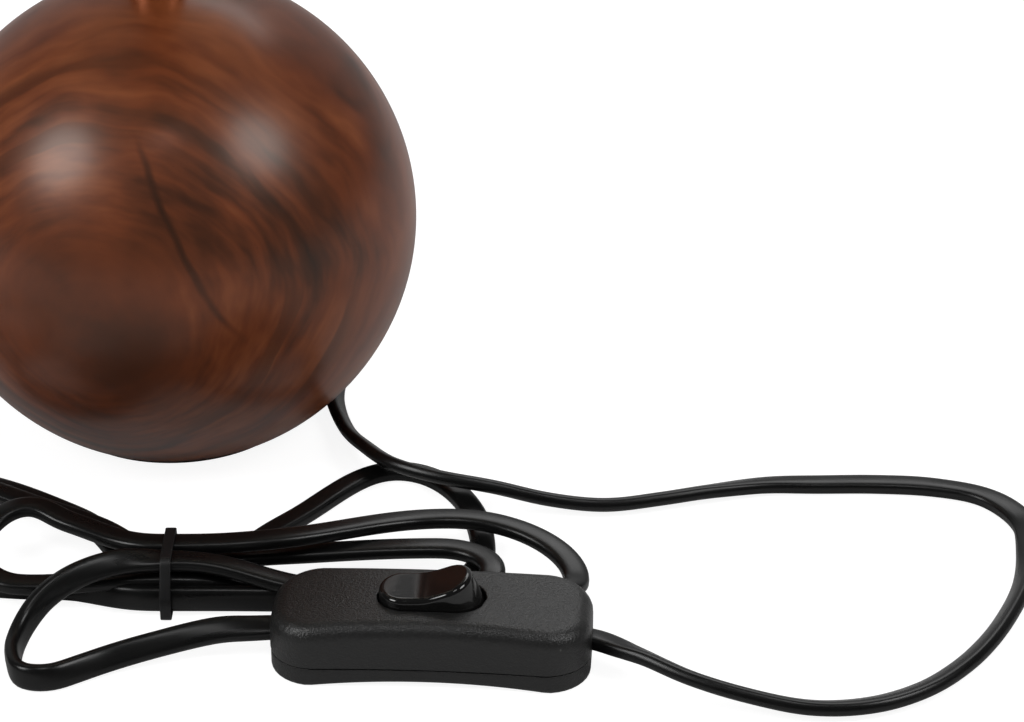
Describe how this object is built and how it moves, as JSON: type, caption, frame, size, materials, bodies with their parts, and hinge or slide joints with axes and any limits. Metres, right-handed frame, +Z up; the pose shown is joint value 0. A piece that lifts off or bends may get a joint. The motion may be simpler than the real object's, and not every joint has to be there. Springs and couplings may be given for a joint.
{
  "type": "table lamp",
  "caption": "Turned wooden ball table lamp with a copper neck, a small screw lampholder, a conical cloth shade, and a flat lead with an in-line rocker switch and a plug.",
  "frame": {"origin": "on the table, under the middle of the ball", "axes": "+Z up along the neck, +Y the way the lead leaves the ball, +X to the switch's side"},
  "size_m": [0.3216, 0.2211, 0.3104],
  "materials": {
    "ball wood": "dark reddish brown wood with a dark curved grain, clear lacquer, satin to gloss",
    "weight steel": "turned steel, oiled",
    "plated steel": "zinc plated",
    "black felt": "pressed felt",
    "black rubber": "soft moulded, matt",
    "lead sheath": "black flexible sheath, glossy",
    "brass": "plain",
    "copper": "copper plated, polished, lightly brushed",
    "holder plastic": "black moulded, fine matt",
    "holder ceramic": "unglazed steatite",
    "shade wire": "white powder coat",
    "shade cloth": "plain woven off-white cloth on a clear film",
    "hem tape": "woven tape, off-white",
    "switch plastic": "black moulded, fine spark-eroded texture",
    "rocker plastic": "black, polished",
    "core copper": "bare stranded copper in thin insulation",
    "tie band": "thin black band",
    "plug plastic": "black moulded, satin",
    "plug brass": "nickel plated brass"
  },
  "bodies": {
    "lamp": {"ball_base": "ball wood", "base_weight": "weight steel", "weight_screws": "plated steel", "felt_pad": "black felt", "cord_bush": "black rubber", "inner_lead": "lead sheath", "stem_tube": "plated steel", "stem_washer": "plated steel", "stem_nut": "brass", "neck_tube": "copper", "neck_cup": "copper", "holder_cap": "holder plastic", "holder_insert": "holder ceramic", "holder_terminals": "brass", "terminal_screws": "plated steel", "holder_sleeve": "holder plastic", "screw_shell": "brass", "centre_contact": "brass", "shade_ring": "holder plastic", "switch_cover": "switch plastic", "switch_base": "switch plastic", "contact_posts": "brass", "contact_screws": "plated steel", "neutral_link": "brass", "cord_clamps": "switch plastic", "clamp_screws": "plated steel", "switch_cores": "core copper", "case_screws": "plated steel", "lamp_lead": "lead sheath", "switch_lead": "lead sheath", "cord_hank": "lead sheath", "hank_tie": "tie band", "plug_lead": "lead sheath", "plug_coil": "lead sheath", "coil_end_lead": "lead sheath", "plug_body": "plug plastic", "plug_relief": "plug plastic", "plug_pins": "plug brass"},
    "rocker": {"switch_rocker": "rocker plastic", "rocker_plunger": "brass"},
    "contact": {"rocking_contact": "brass"},
    "shade": {"shade_cloth": "shade cloth", "shade_carrier": "shade wire", "shade_top_ring": "shade wire", "shade_lower_hem": "hem tape", "shade_upper_hem": "hem tape"}
  },
  "joints": [
    {"name": "rocker_tilt", "type": "hinge", "parent": "lamp", "child": "rocker", "pos_m": [0.0593, -0.1035, 0.0111], "axis": [0.061, 0.9981, 0], "range_deg": [0, 23]},
    {"name": "contact_tilt", "type": "hinge", "parent": "lamp", "child": "contact", "pos_m": [0.0593, -0.1035, 0.0068], "axis": [0.061, 0.9981, 0], "range_deg": [-15, 0]},
    {"name": "shade_turn", "type": "hinge", "parent": "lamp", "child": "shade", "pos_m": [0, 0, 0.19], "axis": [0, 0, 1], "continuous": true}
  ],
  "couplings": [
    {"joint": "contact_tilt", "follows": "rocker_tilt", "ratio": -0.5}
  ]
}
